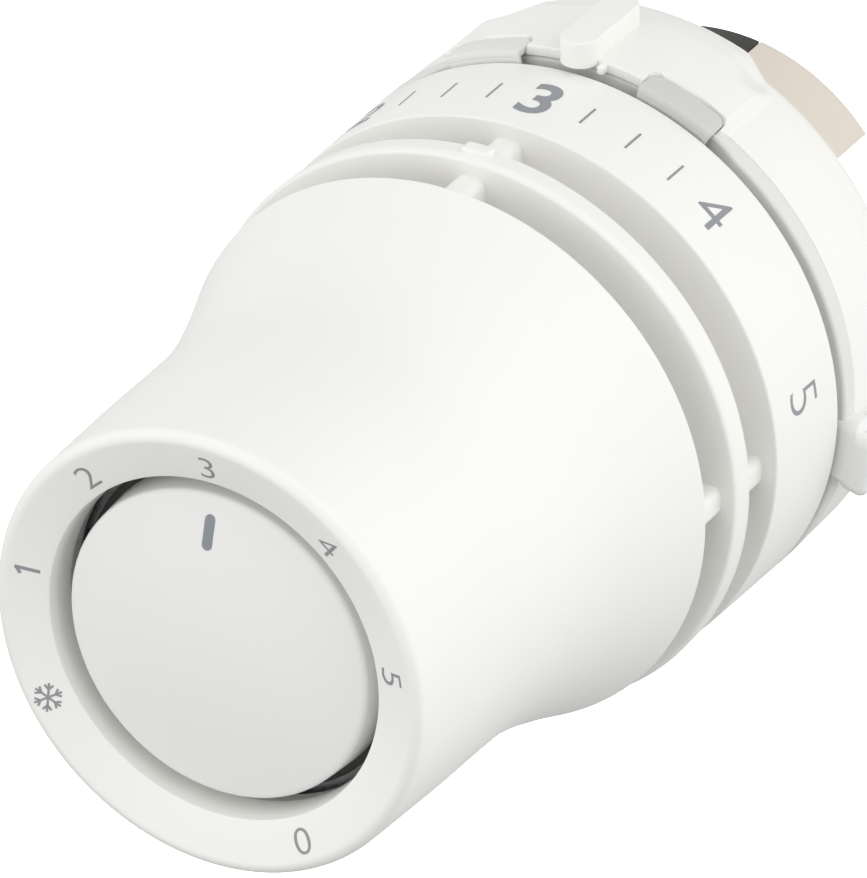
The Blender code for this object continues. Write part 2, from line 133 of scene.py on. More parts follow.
def fillet(points, steps=6):
    """Corners (radius, station[, fillet]) to a closed outline with true tangent arcs."""
    out = []
    for i, point in enumerate(points):
        if len(point) < 3:
            out.append(point)
            continue
        corner = Vector(point[:2])
        before = Vector(points[i - 1][:2]) - corner
        after = Vector(points[(i + 1) % len(points)][:2]) - corner
        room = 0.48 * min(before.length, after.length)
        before.normalize()
        after.normalize()
        inside = acos(max(-0.99999, min(0.99999, before.dot(after))))
        reach = min(point[2] / tan(inside / 2), room)
        arc_radius = reach * tan(inside / 2)
        centre = corner + (before + after).normalized() * (arc_radius / sin(inside / 2))
        start = corner + before * reach - centre
        end = corner + after * reach - centre
        sweep = atan2(start.x * end.y - start.y * end.x, start.dot(end))
        for k in range(steps + 1):
            a = sweep * k / steps
            out.append((
                centre.x + start.x * cos(a) - start.y * sin(a),
                centre.y + start.x * sin(a) + start.y * cos(a),
            ))
    return out


def smooth_curve(points, step):
    """A curve through (radius, station) points with Catmull-Rom tangents."""
    out = []
    for i in range(len(points) - 1):
        p0, p1, p2 = points[max(0, i - 1)], points[i], points[i + 1]
        p3 = points[min(len(points) - 1, i + 2)]
        span = p2[1] - p1[1]
        tangent1 = (p2[0] - p0[0]) / (p2[1] - p0[1]) * span
        tangent2 = (p3[0] - p1[0]) / (p3[1] - p1[1]) * span
        count = max(1, int(abs(span) / step))
        for k in range(count):
            t = k / count
            radius = (
                (2 * t**3 - 3 * t**2 + 1) * p1[0]
                + (t**3 - 2 * t**2 + t) * tangent1
                + (-2 * t**3 + 3 * t**2) * p2[0]
                + (t**3 - t**2) * tangent2
            )
            out.append((radius, p1[1] + span * t))
    out.append(points[-1])
    return out


# ================================================================== mesh helpers
def finish_mesh(name, bm, mat, sharp=35.0):
    """Turn the faces outwards, shade smooth below the sharp angle and link the object."""
    bmesh.ops.recalc_face_normals(bm, faces=bm.faces)
    mesh = bpy.data.meshes.new(name)
    bm.to_mesh(mesh)
    bm.free()
    mesh.calc_loop_triangles()
    volume = 0.0
    for triangle in mesh.loop_triangles:
        a, b, c = (mesh.vertices[i].co for i in triangle.vertices)
        volume += a.dot(b.cross(c))
    if volume < 0:
        mesh.flip_normals()
    mesh.shade_smooth()
    mesh.set_sharp_from_angle(angle=radians(sharp))
    obj = bpy.data.objects.new(name, mesh)
    bpy.context.scene.collection.objects.link(obj)
    mesh.materials.append(mat)
    return obj


def skin(bm, rings, caps=False):
    """Join closed rings of equal count, optionally closing both ends."""
    count = len(rings[0])
    for p, q in zip(rings, rings[1:]):
        for k in range(count):
            j = (k + 1) % count
            bm.faces.new((p[k], p[j], q[j], q[k]))
    if caps:
        bm.faces.new(rings[0])
        bm.faces.new(list(reversed(rings[-1])))


def round_edges(bm, edges, size, segments):
    bmesh.ops.bevel(
        bm, geom=edges, offset=size, segments=segments, profile=0.5, affect="EDGES", clamp_overlap=True
    )


def keen_edges(bm, angle):
    bmesh.ops.recalc_face_normals(bm, faces=bm.faces)
    limit = radians(angle)
    return [e for e in bm.edges if len(e.link_faces) == 2 and e.calc_face_angle(0) > limit]


def cut_across(bm, point, normal, dist):
    geom = bm.verts[:] + bm.edges[:] + bm.faces[:]
    bmesh.ops.bisect_plane(bm, geom=geom, plane_co=point, plane_no=normal, dist=dist)


def lathe(name, outline, mat, start=0.0, end=360.0, segs=AROUND, sharp=35.0):
    """A closed (radius, station) outline swept about the axis; a full turn may touch it."""
    bm = bmesh.new()
    full = abs(end - start) >= 360.0
    steps = segs if full else segs + 1
    rings = []
    for r, y in outline:
        if r <= 1e-6:
            rings.append([bm.verts.new(polar(0, y, 0))] * steps)
        else:
            angles = (start + (end - start) * k / segs for k in range(steps))
            rings.append([bm.verts.new(polar(r, y, a)) for a in angles])
    for i, p in enumerate(rings):
        q = rings[(i + 1) % len(rings)]
        for k in range(segs):
            j = (k + 1) % steps
            corners = []
            for v in (p[k], p[j], q[j], q[k]):
                if v not in corners:
                    corners.append(v)
            if len(corners) > 2:
                bm.faces.new(corners)
    if not full:
        bm.faces.new([ring[0] for ring in rings])
        bm.faces.new([ring[-1] for ring in reversed(rings)])
    return finish_mesh(name, bm, mat, sharp)


def varied_ring(name, angles, section_at, mat, sharp=35.0):
    """A full ring whose closed section, of constant point count, depends on the angle."""
    bm = bmesh.new()
    columns = [[bm.verts.new(polar(r, y, a)) for r, y in section_at(a)] for a in angles]
    count = len(columns[0])
    for p, q in zip(columns, columns[1:] + columns[:1]):
        for k in range(count):
            j = (k + 1) % count
            bm.faces.new((p[k], q[k], q[j], p[j]))
    return finish_mesh(name, bm, mat, sharp)


def shell_patch(name, angles, stations, inner, outer_at, mat, hole=None):
    """A curved plate over a grid of angles and stations, with an optional opening."""
    bm = bmesh.new()
    cells = {
        (i, j)
        for i in range(len(angles) - 1)
        for j in range(len(stations) - 1)
        if not (hole and hole(
            0.5 * (angles[i] + angles[i + 1]), 0.5 * (stations[j] + stations[j + 1])
        ))
    }
    used = {(i + di, j + dj) for i, j in cells for di in (0, 1) for dj in (0, 1)}

    def layer(radius_of):
        return {
            (i, j): bm.verts.new(polar(radius_of(stations[j]), stations[j], angles[i]))
            for i, j in used
        }

    outer = layer(outer_at)
    inside = layer(lambda station: inner)
    # neighbour cell, then the two corners of the side shared with it
    sides = (((0, -1), (0, 1)), ((1, 0), (1, 2)), ((0, 1), (2, 3)), ((-1, 0), (3, 0)))
    for i, j in cells:
        loop = [(i, j), (i + 1, j), (i + 1, j + 1), (i, j + 1)]
        bm.faces.new([outer[c] for c in loop])
        bm.faces.new([inside[c] for c in reversed(loop)])
        for (di, dj), (a, b) in sides:
            if (i + di, j + dj) not in cells:
                p, q = loop[a], loop[b]
                bm.faces.new((outer[q], outer[p], inside[p], inside[q]))
    round_edges(bm, keen_edges(bm, 50), 0.12 * MM, 3)
    return finish_mesh(name, bm, mat)


def box(width, stations, radii):
    bm = bmesh.new()
    bmesh.ops.create_cube(bm, size=1.0)
    length, height = stations[1] - stations[0], radii[1] - radii[0]
    for v in bm.verts:
        v.co = Vector((v.co.x * width, v.co.y * length, v.co.z * height))
    return bm


def bent_block(
    name, angle, width, stations, radii, mat, edge, cells, corner=0.0, ends=(-1, 1), lean=0.0
):
    """A rounded block bent round the axis.

    The plan corners at the ends (front -1, rear 1) are rounded by corner, other edges by edge.
    lean draws the side opposite its sign inwards behind the front edge.
    """
    bm = box(width, stations, radii)
    if corner:
        upright = [
            e for e in bm.edges
            if abs(e.verts[0].co.z - e.verts[1].co.z) > 1e-6
            and (1 if e.verts[0].co.y > 0 else -1) in ends
        ]
        round_edges(bm, upright, corner, 8)
    round_edges(bm, keen_edges(bm, 40), edge, 4)
    for x in spread(-width / 2, width / 2, cells)[1:-1]:
        cut_across(bm, (x, 0, 0), (1, 0, 0), 1e-5)
    mid_radius, mid_station = sum(radii) / 2, sum(stations) / 2
    half_length = (stations[1] - stations[0]) / 2
    for v in bm.verts:
        x, y, z = v.co
        if x * lean < 0:
            x += lean * smoothstep(0.2, 2.4, y + half_length) * min(1.0, abs(x) / (0.4 * width))
        v.co = polar(mid_radius + z, mid_station + y, angle + degrees(x / mid_radius))
    return finish_mesh(name, bm, mat)


def straight_block(name, angle, width, stations, radii, mat, edge, lengthwise=False):
    """A plain bar at an angle round the axis, rounded on every edge or only along its length."""
    bm = box(width, stations, radii)
    a = radians(angle)
    out, across = Vector((sin(a), 0, cos(a))), Vector((cos(a), 0, -sin(a)))
    chosen = [
        e for e in bm.edges
        if not lengthwise or abs(e.verts[0].co.y - e.verts[1].co.y) > 1e-6
    ]
    round_edges(bm, chosen, edge, 6)
    mid_radius, mid_station = sum(radii) / 2, sum(stations) / 2
    for v in bm.verts:
        x, y, z = v.co
        along = Vector((0, (mid_station + y - PIN_END) * MM, 0))
        v.co = (across * x + out * (mid_radius + z)) * MM + along
    return finish_mesh(name, bm, mat)


def capsule_bar(name, place, width, length, low, high, mat, edge):
    """A flat-topped bar with round ends; place maps (x, y, height) to the object."""
    bm = bmesh.new()
    end_steps, rim_steps = 20, 6
    half = length / 2 - width / 2
    levels = [(0.0, low)]  # inset, height
    for a in spread(0.0, pi / 2, rim_steps):
        levels.append((edge * (1 - cos(a)), high - edge + edge * sin(a)))
    rings = []
    for inset, z in levels:
        end_radius = width / 2 - inset
        rings.append([
            bm.verts.new(place(end_radius * cos(a), side * half + end_radius * sin(a), z))
            for side, start in ((1, 0.0), (-1, pi))
            for a in spread(start, start + pi, end_steps)
        ])
    skin(bm, rings)
    # top and bottom are cut across so that they can follow a curved base
    count = len(rings[0])
    for ring, order in ((rings[-1], 1), (rings[0], -1)):
        for k in range(count // 2 - 1):
            corners = [ring[k], ring[k + 1], ring[count - 2 - k], ring[count - 1 - k]]
            bm.faces.new(corners[::order])
    return finish_mesh(name, bm, mat)


def subtract(target, cutter):
    """Take one mesh out of another and remove the cutter."""
    cut = target.modifiers.new("hole", "BOOLEAN")
    cut.operation = "DIFFERENCE"
    cut.solver = "EXACT"
    cut.object = cutter
    bpy.context.view_layer.update()
    graph = bpy.context.evaluated_depsgraph_get()
    result = bpy.data.meshes.new_from_object(target.evaluated_get(graph))
    target.modifiers.clear()
    target.data = result
    bpy.data.objects.remove(cutter, do_unlink=True)
    result.shade_smooth()
    result.set_sharp_from_angle(angle=radians(38))


def bore(target, angle, radius, stations):
    """Sink a round hole on the screw circle, parallel to the axis."""
    bm = bmesh.new()
    bmesh.ops.create_cone(
        bm, cap_ends=True, segments=64, radius1=radius * MM, radius2=radius * MM,
        depth=(stations[1] - stations[0]) * MM,
    )
    mesh = bpy.data.meshes.new("cutter")
    for v in bm.verts:
        centre = polar(SCREW_CIRCLE, sum(stations) / 2, angle)
        v.co = Vector((v.co.x, v.co.z, -v.co.y)) + centre
    bmesh.ops.recalc_face_normals(bm, faces=bm.faces)
    bm.to_mesh(mesh)
    bm.free()
    cutter = bpy.data.objects.new("cutter", mesh)
    bpy.context.scene.collection.objects.link(cutter)
    subtract(target, cutter)


def stands(obj, body, node=None):
    """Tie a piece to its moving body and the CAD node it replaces."""
    if node:
        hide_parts(node)
    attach(obj, body)


# ================================================================== materials
def new_material(name):
    mat = bpy.data.materials.new(name)
    mat.use_nodes = True
    tree = mat.node_tree
    coord = tree.nodes.new("ShaderNodeTexCoord").outputs["Object"]
    return mat, tree, tree.nodes["Principled BSDF"], coord


def noise(tree, coord, scale, detail=3.0, rough=0.55, stretch=None):
    node = tree.nodes.new("ShaderNodeTexNoise")
    node.inputs["Scale"].default_value = scale
    node.inputs["Detail"].default_value = detail
    node.inputs["Roughness"].default_value = rough
    source = coord
    if stretch:
        mapping = tree.nodes.new("ShaderNodeMapping")
        mapping.inputs["Scale"].default_value = stretch
        tree.links.new(coord, mapping.inputs["Vector"])
        source = mapping.outputs["Vector"]
    tree.links.new(source, node.inputs["Vector"])
    return node.outputs["Fac"]


def ramp(tree, fac, low, high):
    """Map the middle of the noise range to low..high."""
    node = tree.nodes.new("ShaderNodeMapRange")
    node.inputs["From Min"].default_value = 0.3
    node.inputs["From Max"].default_value = 0.7
    node.inputs["To Min"].default_value = low
    node.inputs["To Max"].default_value = high
    tree.links.new(fac, node.inputs["Value"])
    return node.outputs["Result"]


def mix_colour(tree, fac, dark, light):
    node = tree.nodes.new("ShaderNodeMix")
    node.data_type = "RGBA"
    node.inputs["A"].default_value = (*dark, 1)
    node.inputs["B"].default_value = (*light, 1)
    tree.links.new(fac, node.inputs["Factor"])
    return node.outputs["Result"]


def add_bump(tree, bsdf, height, strength):
    bump = tree.nodes.new("ShaderNodeBump")
    bump.inputs["Strength"].default_value = strength
    bump.inputs["Distance"].default_value = 0.00002
    tree.links.new(height, bump.inputs["Height"])
    tree.links.new(bump.outputs["Normal"], bsdf.inputs["Normal"])


def plastic(name, colour, rough, spread, grain, grain_scale=2600.0, sss=0.0, stretch=None):
    """Moulded plastic: faint flow mottling, uneven gloss and a fine spark-eroded grain.

    spread is the mottling either side of the colour, grain the bump strength.
    """
    mat, tree, bsdf, coord = new_material(name)
    mottle = noise(tree, coord, scale=55.0, detail=4.0)
    dark = tuple(max(0.0, c - spread) for c in colour)
    light = tuple(min(1.0, c + spread) for c in colour)
    base = mix_colour(tree, ramp(tree, mottle, 0, 1), dark, light)
    tree.links.new(base, bsdf.inputs["Base Color"])
    gloss = ramp(tree, noise(tree, coord, scale=420.0), rough - 0.05, rough + 0.06)
    tree.links.new(gloss, bsdf.inputs["Roughness"])
    grain_noise = noise(tree, coord, grain_scale, detail=4.0, rough=0.6, stretch=stretch)
    add_bump(tree, bsdf, grain_noise, grain)
    bsdf.inputs["IOR"].default_value = 1.46
    if sss:
        bsdf.inputs["Subsurface Weight"].default_value = sss
        bsdf.inputs["Subsurface Radius"].default_value = (0.0012, 0.0011, 0.0009)
        bsdf.inputs["Subsurface Scale"].default_value = 1.0
    return mat


def metal(name, colour, rough, stretch=(1, 60, 1)):
    """Turned or drawn metal with fine stretched lines and uneven polish."""
    mat, tree, bsdf, coord = new_material(name)
    lines = noise(tree, coord, scale=90.0, detail=5.0, rough=0.6, stretch=stretch)
    dark = tuple(c * 0.82 for c in colour)
    base = mix_colour(tree, ramp(tree, lines, 0, 1), dark, colour)
    tree.links.new(base, bsdf.inputs["Base Color"])
    tree.links.new(ramp(tree, lines, rough - 0.08, rough + 0.1), bsdf.inputs["Roughness"])
    bsdf.inputs["Metallic"].default_value = 1.0
    add_bump(tree, bsdf, lines, strength=0.15)
    return mat


WARM_WHITE = (0.935, 0.930, 0.898)
WHITE = plastic("white_plastic_fine_satin", WARM_WHITE, rough=0.38, spread=0.008, grain=0.05)
CAP = plastic(
    "cap_plastic_satin", (0.905, 0.903, 0.885), rough=0.5, spread=0.008, grain=0.12, grain_scale=1800.0
)
COVER = plastic("cover_plastic_satin", WARM_WHITE, rough=0.36, spread=0.008, grain=0.04)
LIGHT = plastic("light_grey_plastic", (0.93, 0.927, 0.905), rough=0.42, spread=0.01, grain=0.08)
# The limiter pads are the cover's white moulding greyed to paint the shade of their recesses in the
# hood; the high pad carries deeper painted shade than the low one.
CLIP_DEEP_PAINTED_SHADE = plastic("clip_plastic_deep_painted_shade", (0.665, 0.665, 0.65), rough=0.45, spread=0.01, grain=0.1)
CLIP_LIGHT_PAINTED_SHADE = plastic("clip_plastic_light_painted_shade", (0.81, 0.81, 0.79), rough=0.45, spread=0.01, grain=0.1)
# The lock band is the same near-white plastic as its finger tabs, greyed to paint the shade it lies in
# between the scale ring and the cover.
BAND_PAINTED_SHADE = plastic("band_plastic_painted_shade", (0.785, 0.785, 0.765), rough=0.42, spread=0.01, grain=0.08)
SLEEVE = plastic("inner_sleeve_plastic", (0.80, 0.80, 0.78), rough=0.5, spread=0.01, grain=0.08)
DARK = plastic(
    "dark_glass_filled_nylon", (0.050, 0.048, 0.043), rough=0.45, spread=0.010,
    grain=0.35, grain_scale=900.0, stretch=(1, 6, 1),
)
BEIGE = plastic(
    "beige_plastic", (0.755, 0.690, 0.605), rough=0.5, spread=0.016, grain=0.10, grain_scale=1500.0
)
ACETAL = plastic(
    "natural_acetal", (0.80, 0.79, 0.73), rough=0.33, spread=0.015, grain=0.05, sss=0.1
)
INK = plastic(
    "grey_print", (0.30, 0.315, 0.335), rough=0.5, spread=0.01, grain=0.1, grain_scale=3000.0
)
INK_BAR = plastic(
    "grey_print_bar", (0.26, 0.285, 0.315), rough=0.45, spread=0.01, grain=0.1, grain_scale=3000.0
)
STEEL = metal("turned_steel", (0.62, 0.62, 0.63), rough=0.28)
SPRING = metal("spring_wire", (0.42, 0.42, 0.44), rough=0.32, stretch=(40, 3, 40))
BRASS = metal("drawn_brass", (0.78, 0.58, 0.27), rough=0.28)
CAN = metal("drawn_can", (0.70, 0.70, 0.68), rough=0.33, stretch=(1, 20, 1))
COPPER = metal("crimped_copper", (0.78, 0.42, 0.27), rough=0.33)

# CAD pieces kept as they are
for node, mat in {
    "handle_retainer": SPRING, "sensor_carrier": ACETAL, "sensor_capsule": CAN,
    "fill_tube": COPPER, "capsule_base": CAN, "bellows": BRASS, "guide_bush": ACETAL,
    "setting_spring": SPRING, "spindle": STEEL, "overtravel_cup": BRASS,
    "overtravel_spring": SPRING, "cup_circlip": SPRING,
}.items():
    slots = NODES[node].data.materials
    slots.clear()
    slots.append(mat)

# Outlines from here on list (radius, station[, fillet radius]).

# ================================================================== handle
DIAL_INNER = 15.08
DIAL_SLOPE = -0.32

BELL_SIDE = [
    (19.6, 1.4), (19.72, 5.0), (19.85, 9.0), (20.0, 18.0), (20.2, 21.0), (20.73, 24.3),
    (21.5, 27.6), (22.07, 29.5), (22.65, 31.4), (23.35, 33.5), (24.16, 35.75),
]
BELL_REAR = [(24.30, 36.12, 0.12), (21.6, 36.12, 0.3), (21.4, 33.4)]
BELL_INSIDE = [
    (20.2, 29.6), (19.3, 26.6), (18.3, 23.6), (17.75, 22.4), (17.7, 5.9), (16.9, 5.1),
    (15.3, 5.0), (15.3, 3.1), (14.92, 3.0),
]
VENT_RING = [
    (20.75, 39.9, 0.2), (24.75, 39.95, 0.35), (24.93, 40.6, 0.3), (24.86, 42.42, 0.35),
    (20.75, 42.42, 0.2),
]
# front and rear ends of the scale ring's outer surface
SCALE_FRONT, SCALE_REAR = (24.87, 46.8), (25.02, 56.91)
SCALE_RING = [
    (20.75, 46.95, 0.2), (22.9, 46.82, 0.4), (*SCALE_FRONT, 0.22), (*SCALE_REAR, 0.25),
    (22.0, 56.91, 0.2), (22.0, 50.9, 0.2), (20.75, 50.3, 0.2),
]
RIB_ANGLES = ((0.8, -0.6), (89.6, 91.3), (180.0, 180.0), (270.0, 270.0))  # front, rear
RIB_STATIONS = (("front", (35.6, 40.4)), ("rear", (42.0, 48.3)))


def face_station(radius):
    """Station of the dished dial face at a radius."""
    return DIAL_SLOPE * (radius - DIAL_INNER)


def bell_outline():
    inner_corner = fillet(
        [(14.9, 3.0), (DIAL_INNER, 0.0, 0.12), (17.0, face_station(17.0))], 4
    )[1:-1]
    rim_corner = fillet([
        (DIAL_INNER, 0.0), (16.5, face_station(16.5)),
        (19.48, face_station(19.48), 0.88), BELL_SIDE[0],
    ], 12)[1:-1]
    rear_lip = fillet([BELL_SIDE[-1]] + BELL_REAR, 5)[1:]
    return inner_corner + rim_corner + smooth_curve(BELL_SIDE, 0.45) + rear_lip + BELL_INSIDE


def white_handle_part(obj, node=None):
    stands(obj, "handle", node)


white_handle_part(lathe("handle_bell", bell_outline(), WHITE, sharp=30), "handle")
white_handle_part(lathe("handle_vent_ring", fillet(VENT_RING), WHITE))
white_handle_part(lathe("handle_scale_ring", fillet(SCALE_RING), WHITE))
for k, angles in enumerate(RIB_ANGLES, 1):
    for angle, (end, stations) in zip(angles, RIB_STATIONS):
        white_handle_part(straight_block(
            f"handle_rib_{k}_{end}", angle, 2.6, stations, (20.9, 23.5), WHITE,
            edge=0.8, lengthwise=True,
        ))
white_handle_part(bent_block(
    "handle_touch_mark", 0.0, 2.5, (40.95, 42.35), (23.8, 25.28), WHITE, edge=0.22, cells=6
))

# ================================================================== front cap
CAP_EDGE = 13.62
CAP_ROUNDING = 1.6  # the crown's rings turn finer within this distance of the edge
CAP_EDGE_ROWS = [  # inset from the cap edge, station
    (0.75, 0.60), (0.50, 0.64), (0.28, 0.72), (0.12, 0.83), (0.03, 0.96), (0.0, 1.12),
    (-0.06, 1.9), (-0.16, 3.2), (-0.26, 4.42), (-0.2, 4.5),
]
CAP_BACK = [
    (13.3, 4.5), (13.1, 2.2), (10.95, 2.2), (10.7, 7.2), (10.0, 7.2), (10.0, 2.0), (0.0, 1.0),
]
INDEX_BAR_RIGHT, INDEX_BAR_UP, INDEX_BAR_SLANT = -0.38, 10.46, 0.05


def cap_crown(radius):
    """Station of the dished cap face at a radius."""
    return -0.75 + 1.35 * (radius / 12.9) ** 2


def cap_outline():
    radii = [(CAP_EDGE - CAP_ROUNDING) * k / 16 for k in range(16)]
    radii += [CAP_EDGE - inset for inset in (CAP_ROUNDING, 1.2, 0.95)]
    crown = [(r, cap_crown(r)) for r in radii]
    return crown + [(CAP_EDGE - inset, y) for inset, y in CAP_EDGE_ROWS] + CAP_BACK


def on_index_bar(x, y, z):
    """(right, up, raise) about the bar's middle, laid on the cap."""
    x += INDEX_BAR_RIGHT + INDEX_BAR_SLANT * y
    y += INDEX_BAR_UP
    return Vector((x * MM, (cap_crown(hypot(x, y)) - z - PIN_END) * MM, y * MM))


stands(
    lathe("front_cap", cap_outline(), CAP, segs=360, sharp=40),
    "body", "end_cap",
)
stands(
    capsule_bar(
        "index_bar", on_index_bar, width=0.92, length=3.05, low=-0.12, high=0.05,
        mat=INK_BAR, edge=0.04,
    ),
    "body",
)

# ================================================================== core frame behind the cap
CORE_HUB = [
    (11.0, 3.2, 0.2), (12.7, 3.2, 0.1), (12.7, 4.8), (14.55, 4.8, 0.12), (14.55, 5.3),
    (13.3, 5.3), (13.3, 7.1), (14.2, 7.1), (14.2, 7.7), (16.9, 7.7, 0.2), (16.9, 9.3, 0.2),
    (6.0, 9.3, 0.2), (6.0, 7.9, 0.2), (11.0, 7.9),
]
CORE_FLANGE = [(7.0, 54.5, 0.2), (21.6, 54.5, 0.2), (21.6, 57.2, 0.2), (7.0, 57.2, 0.2)]
GUARD_SLEEVE = [(19.0, 33.2, 0.2), (20.4, 33.2, 0.4), (20.4, 54.2, 0.2), (19.0, 54.2, 0.2)]
ARM_HALF_ANGLE = 9

stands(lathe("core_hub", fillet(CORE_HUB), DARK), "body", "core_frame")
for k in range(3):
    angles = spread(THIRD * k - ARM_HALF_ANGLE, THIRD * k + ARM_HALF_ANGLE, 12)
    arm = shell_patch(f"core_arm_{k + 1}", angles, [8.9, 55.0], 15.6, lambda y: 16.7, DARK)
    stands(arm, "body")
stands(lathe("core_flange", fillet(CORE_FLANGE), DARK), "body")
stands(
    lathe("guard_sleeve", fillet(GUARD_SLEEVE), SLEEVE),
    "body", "inner_sleeve",
)

# ================================================================== base cover, hood and lug
HOOD_HALF_ANGLE = 30.2
HOOD_TOP, HOOD_WALL = 26.05, 25.15  # outer and inner radius
HOOD_FRONT, COVER_FRONT = 58.15, 59.74
COVER_REAR, HOOD_REAR_RUN = 69.5, 1.05
COVER_BORE = 23.6
COVER_KNOTS = (  # station, outer radius beside the hood
    (COVER_FRONT, 24.93), (60.3, 24.95), (61.2, 24.95), (64.0, 24.93), (66.0, 24.85),
    (68.2, 24.6), (69.5, 24.25),
)
HOOD_KNOTS = (  # station, outer radius on the hood
    (HOOD_FRONT, HOOD_TOP), (64.0, HOOD_TOP), (66.5, 25.9), (68.5, 25.45), (70.0, 24.85),
    (70.6, 24.5),
)
FRONT_ROUND = 0.14  # rounding of the outer front edge
REAR_ROUND = 0.9

# The two windows in the hood, one for each limiter clip
CLIP_LOW_ANGLE, CLIP_HIGH_ANGLE = -19.6, 21.4
WINDOWS = ((CLIP_LOW_ANGLE, 8.3), (CLIP_HIGH_ANGLE, 8.25))  # middle, half angle
WINDOW_FLOOR, WINDOW_REAR, WINDOW_CORNER = 25.22, 59.95, 1.05


def hood_factor(angle):
    """1 on the hood, 0 beside it, with a soft step."""
    return 1.0 - smoothstep(HOOD_HALF_ANGLE - 1.1, HOOD_HALF_ANGLE + 1.3, abs(angle))


def rear_factor(angle):
    """How far the hood's rear edge runs back, easing off beside the middle in an S-bend."""
    return 1.0 - smoothstep(20.3, 28.4, abs(angle))


def window_mask(angle, station):
    """1 inside a window, 0 outside; the windows are open to the front."""
    mask = 0.0
    for middle, half in WINDOWS:
        dx = arc_length(abs(angle - middle), HOOD_TOP)
        dx -= arc_length(half, HOOD_TOP) - WINDOW_CORNER
        dy = station - (WINDOW_REAR - WINDOW_CORNER)
        beyond = hypot(dx, dy) if dx > 0 and dy > 0 else max(dx, dy)
        mask = max(mask, 1.0 - smoothstep(-0.1, 0.1, beyond - WINDOW_CORNER))
    return mask


def cover_outer(angle, station):
    fade = smoothstep(64.5, 68.3, station) * (1 - rear_factor(angle))
    hood = hood_factor(angle) * (1 - fade)
    return blend(radius_at(COVER_KNOTS, station), radius_at(HOOD_KNOTS, station), hood)


def cover_section(angle):
    """Section of the cover, from the bore forward, over the outside and back in at the rear."""
    hood, rear_run = hood_factor(angle), rear_factor(angle)
    front = blend(COVER_FRONT, HOOD_FRONT, hood)
    rear = COVER_REAR + HOOD_REAR_RUN * rear_run
    lip = blend(COVER_BORE, HOOD_WALL, hood)
    section = [(COVER_BORE, 67.9), (COVER_BORE, 60.6), (23.62, 60.32)]
    if hood > 0.5:
        section += [(lip, 60.1), (lip, front + 0.25)]
    else:
        section += [
            (blend(23.7, HOOD_WALL, hood), 60.05),
            (blend(23.8, HOOD_WALL, hood), front + 0.25),
        ]
    section.append((lip + 0.03, front + 0.03))

    mask = window_mask(angle, front + 0.4)
    top = blend(cover_outer(angle, front), WINDOW_FLOOR, mask)
    rounding = min(FRONT_ROUND, max(0.02, top - lip - 0.05))
    for a in spread(0.0, pi / 2, 5):
        section.append((top - rounding + rounding * sin(a), front + rounding - rounding * cos(a)))
    for y in spread(front + FRONT_ROUND, rear - REAR_ROUND, 60)[1:]:
        section.append((blend(cover_outer(angle, y), WINDOW_FLOOR, window_mask(angle, y)), y))
    end = cover_outer(angle, rear - REAR_ROUND)
    for a in spread(0.0, pi / 2, 8)[1:]:
        section.append((end - 1.0 + cos(a) - 0.12 * sin(a), rear - REAR_ROUND + REAR_ROUND * sin(a)))
    section += [
        (22.6, rear), (22.3, rear - 0.05 - 1.3 * rear_run), (17.35, 69.6), (17.2, 69.45),
        (17.2, 67.9),
    ]
    return section


def cover_angles():
    """Angles round the cover, finer across the hood."""
    angles = []
    angle = -180.0
    while angle < 180.0 - 1e-6:
        angles.append(angle)
        angle += 0.25 if abs(angle + 0.01) < 34.0 else 1.0
    return angles


cover_shell = varied_ring("cover_shell", cover_angles(), cover_section, COVER, sharp=38)
for angle in SCREW_ANGLES:
    bore(cover_shell, angle, radius=2.05, stations=(67.4, 72.0))
stands(cover_shell, "body", "base_cover")
stands(
    capsule_bar(
        "index_lug", lambda x, y, z: Vector((x * MM, (61.4 + y - PIN_END) * MM, z * MM)),
        width=3.25, length=9.85, low=25.6, high=27.9, mat=COVER, edge=0.16,
    ),
    "body",
)
stands(
    straight_block("lug_web", 5.0, 0.7, (57.4, 58.8), (25.12, 25.95), COVER, edge=0.25),
    "body",
)

# the pads' grey is painted shade of their windows in the hood, deeper on the high side
for side, angle, mat in (("low", CLIP_LOW_ANGLE, CLIP_LIGHT_PAINTED_SHADE), ("high", CLIP_HIGH_ANGLE, CLIP_DEEP_PAINTED_SHADE)):
    pad = bent_block(
        f"limiter_pad_{side}", angle, arc_length(16.1, 25.62), (57.1, 59.8), (25.3, 25.95), mat,
        edge=0.14, cells=24, corner=1.0, ends=(1,),
    )
    stands(pad, f"clip_{side}", f"limiter_clip_{side}")
    lip = bent_block(
        f"limiter_pad_{side}_lip", angle, arc_length(15.9, 24.9), (57.14, 57.5), (24.3, 25.5), mat,
        edge=0.05, cells=20,
    )
    stands(lip, f"clip_{side}")

# ================================================================== lock ring with finger tabs
BAND_INNER, BAND_OUTER = 22.1, 25.05
BAND_REAR = 59.6


def band_section(angle):
    """The band's front edge is set back under the hood."""
    front = 58.25 - 0.3 * smoothstep(32.0, 36.0, abs(angle))
    return fillet([
        (BAND_INNER, front, 0.15), (BAND_OUTER, front, 0.35),
        (BAND_OUTER, BAND_REAR, 0.12), (BAND_INNER, BAND_REAR, 0.15),
    ])


# the band's grey is painted shade under the scale ring and the hood
stands(
    varied_ring("lock_band", spread(-180.0, 180.0, 480)[:-1], band_section, BAND_PAINTED_SHADE),
    "lock", "lock_ring",
)
# turn shifts the root round the axis in degrees; the tab leans the other way by as many mm
for name, angle, turn in (("finger_tab_right", 99.8, -1.2), ("finger_tab_left", -99.8, 1.2)):
    tab = bent_block(
        name, angle, 6.2, (57.5, 66.8), (25.4, 28.0), LIGHT,
        edge=0.8, cells=20, corner=1.2, lean=-turn,
    )
    stands(tab, "lock")
    root = bent_block(
        f"{name}_root", angle + turn, 6.1, (57.52, 59.6), (24.4, 26.4), LIGHT,
        edge=0.15, cells=20, corner=0.9, ends=(-1,),
    )
    stands(root, "lock")

